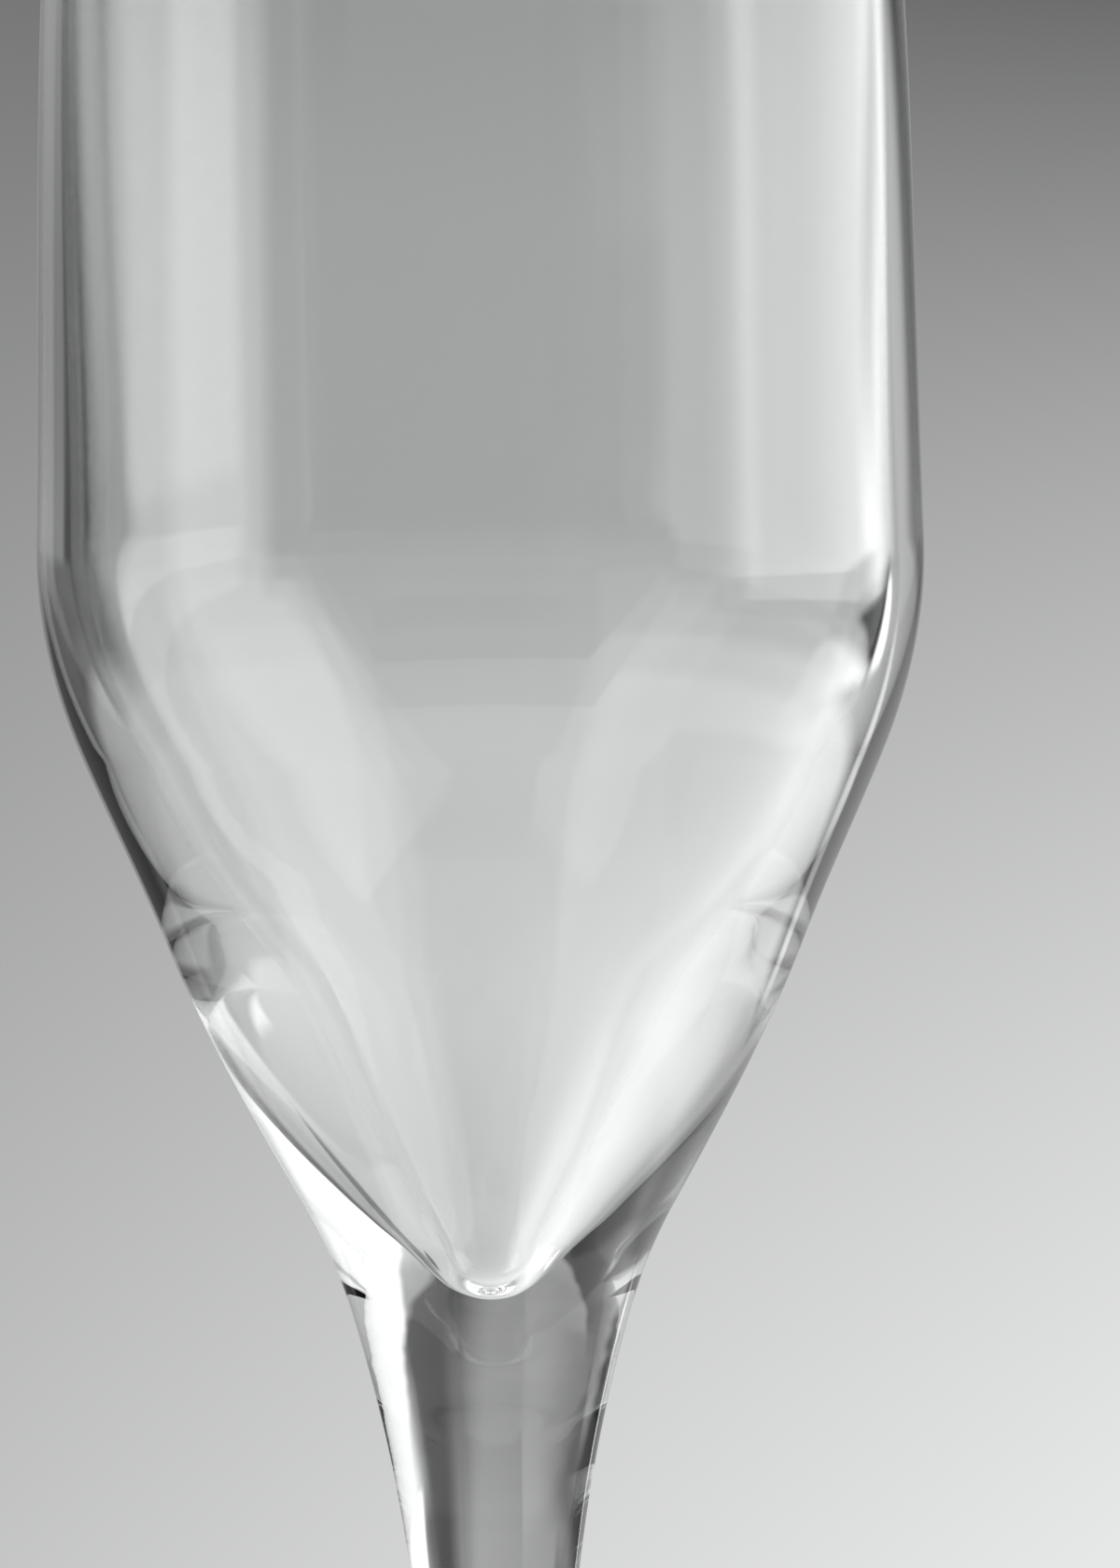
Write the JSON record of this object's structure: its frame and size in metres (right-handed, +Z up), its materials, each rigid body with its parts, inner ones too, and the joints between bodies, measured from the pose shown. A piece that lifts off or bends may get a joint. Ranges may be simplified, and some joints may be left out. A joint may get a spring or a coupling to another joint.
{
  "type": "champagne glass",
  "caption": "Tall clear champagne glass: a tapered bowl with a soft shoulder and a deep pointed cone inside, on a slim drawn stem and a flat round foot.",
  "frame": {"origin": "on the table, under the middle of the foot", "axes": "+Z up along the axis of the glass, from the foot to the rim; the glass is round, so +X and +Y are free"},
  "size_m": [0.072, 0.072, 0.25],
  "materials": {
    "bowl_glass": "clear, fire-polished",
    "stem_glass": "clear, drawn, with faint cords",
    "foot_glass": "clear, fire-polished"
  },
  "bodies": {
    "root": {"bowl": "bowl_glass", "stem": "stem_glass", "foot": "foot_glass"}
  },
  "joints": []
}
